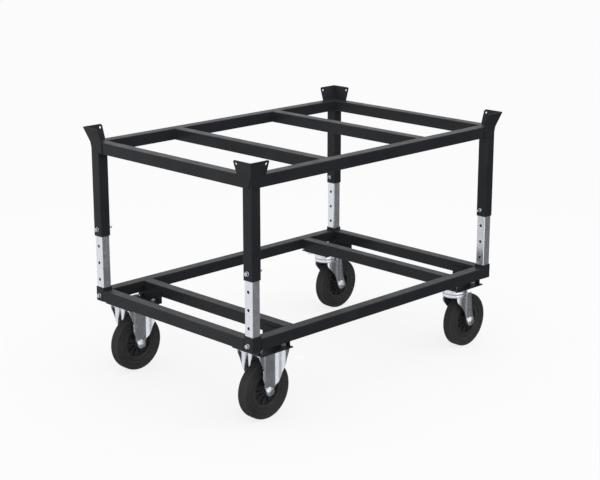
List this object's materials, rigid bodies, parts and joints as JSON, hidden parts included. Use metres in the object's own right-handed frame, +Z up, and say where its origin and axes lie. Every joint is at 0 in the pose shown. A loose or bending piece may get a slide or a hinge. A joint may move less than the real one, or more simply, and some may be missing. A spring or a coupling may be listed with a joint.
{
  "type": "height-adjustable pallet dolly",
  "caption": "Height-adjustable pallet dolly: tube frame on legs over a lower frame with rigid and swivel casters, leaning corner guides and bolted telescopic legs.",
  "frame": {"origin": "on the floor, under the middle of the dolly's overall box (12 mm from the middle of the frame, because the swivel wheels trail past its end)", "axes": "+Z up; +X along the long side towards the swivel casters; +Y to the left seen from the rigid end"},
  "size_m": [1.2604, 0.8368, 0.883],
  "materials": {
    "black_powder_coat": "fine satin powder coat",
    "galvanised_tube": "dull galvanised",
    "zinc_plated_sheet": "bright zinc plated",
    "zinc_fastener": "bright zinc plated",
    "ball_steel": "polished and greased",
    "black_rubber": "matt moulded rubber",
    "black_plastic": "matt moulded plastic",
    "bearing_plastic": "natural nylon"
  },
  "bodies": {
    "lower_frame": {"lower_side_rail_right": "black_powder_coat", "lower_side_rail_left": "black_powder_coat", "lower_end_rail_rear": "black_powder_coat", "lower_end_rail_front": "black_powder_coat", "lower_cross_rail_rear": "black_powder_coat", "lower_cross_rail_front": "black_powder_coat", "inner_leg_rear_right": "galvanised_tube", "inner_leg_rear_left": "galvanised_tube", "inner_leg_front_right": "galvanised_tube", "inner_leg_front_left": "galvanised_tube", "corner_sockets": "black_powder_coat", "caster_brackets": "black_powder_coat", "socket_bolts": "zinc_fastener", "socket_nuts": "zinc_fastener", "caster_bolts": "zinc_fastener", "caster_nuts": "zinc_fastener", "rigid_axle_bolts": "zinc_fastener", "rigid_axle_nuts": "zinc_fastener", "swivel_balls": "ball_steel", "king_pins": "zinc_fastener", "rigid_fork_right": "zinc_plated_sheet", "rigid_fork_left": "zinc_plated_sheet", "swivel_top_plate_right": "zinc_plated_sheet", "swivel_top_plate_left": "zinc_plated_sheet"},
    "upper_frame": {"upper_side_rail_right": "black_powder_coat", "upper_side_rail_left": "black_powder_coat", "upper_end_rail_rear": "black_powder_coat", "upper_end_rail_front": "black_powder_coat", "upper_cross_bar_rear": "black_powder_coat", "upper_cross_bar_front": "black_powder_coat", "sleeve_leg_rear_right": "black_powder_coat", "sleeve_leg_rear_left": "black_powder_coat", "sleeve_leg_front_right": "black_powder_coat", "sleeve_leg_front_left": "black_powder_coat", "corner_guide_rear_right": "black_powder_coat", "corner_guide_rear_left": "black_powder_coat", "corner_guide_front_right": "black_powder_coat", "corner_guide_front_left": "black_powder_coat", "sleeve_caps": "black_powder_coat", "height_bolts": "zinc_fastener", "height_nuts": "zinc_fastener"},
    "swivel_head_right": {"swivel_fork_right": "zinc_plated_sheet", "swivel_axle_bolt_right": "zinc_fastener", "swivel_axle_nut_right": "zinc_fastener"},
    "swivel_head_left": {"swivel_fork_left": "zinc_plated_sheet", "swivel_axle_bolt_left": "zinc_fastener", "swivel_axle_nut_left": "zinc_fastener"},
    "wheel_rear_right": {"tyre_rear_right": "black_rubber", "rim_rear_right": "black_plastic", "roller_bearing_rear_right": "bearing_plastic"},
    "wheel_rear_left": {"tyre_rear_left": "black_rubber", "rim_rear_left": "black_plastic", "roller_bearing_rear_left": "bearing_plastic"},
    "wheel_front_right": {"tyre_front_right": "black_rubber", "rim_front_right": "black_plastic", "roller_bearing_front_right": "bearing_plastic"},
    "wheel_front_left": {"tyre_front_left": "black_rubber", "rim_front_left": "black_plastic", "roller_bearing_front_left": "bearing_plastic"}
  },
  "joints": [
    {"name": "height_adjust", "type": "slide", "parent": "lower_frame", "child": "upper_frame", "axis": [0, 0, 1], "range_m": [-0.18, 0.06], "deforming": ["height_bolts", "height_nuts"]},
    {"name": "swivel_right", "type": "hinge", "parent": "lower_frame", "child": "swivel_head_right", "pos_m": [0.4752, -0.33, 0.205], "axis": [0, 0, 1], "continuous": true},
    {"name": "swivel_left", "type": "hinge", "parent": "lower_frame", "child": "swivel_head_left", "pos_m": [0.4752, 0.33, 0.205], "axis": [0, 0, 1], "continuous": true},
    {"name": "wheel_spin_rear_right", "type": "hinge", "parent": "lower_frame", "child": "wheel_rear_right", "pos_m": [-0.4988, -0.33, 0.1], "axis": [0, 1, 0], "continuous": true},
    {"name": "wheel_spin_rear_left", "type": "hinge", "parent": "lower_frame", "child": "wheel_rear_left", "pos_m": [-0.4988, 0.33, 0.1], "axis": [0, 1, 0], "continuous": true},
    {"name": "wheel_spin_front_right", "type": "hinge", "parent": "swivel_head_right", "child": "wheel_front_right", "pos_m": [0.5302, -0.33, 0.1], "axis": [0, 1, 0], "continuous": true},
    {"name": "wheel_spin_front_left", "type": "hinge", "parent": "swivel_head_left", "child": "wheel_front_left", "pos_m": [0.5302, 0.33, 0.1], "axis": [0, 1, 0], "continuous": true}
  ]
}
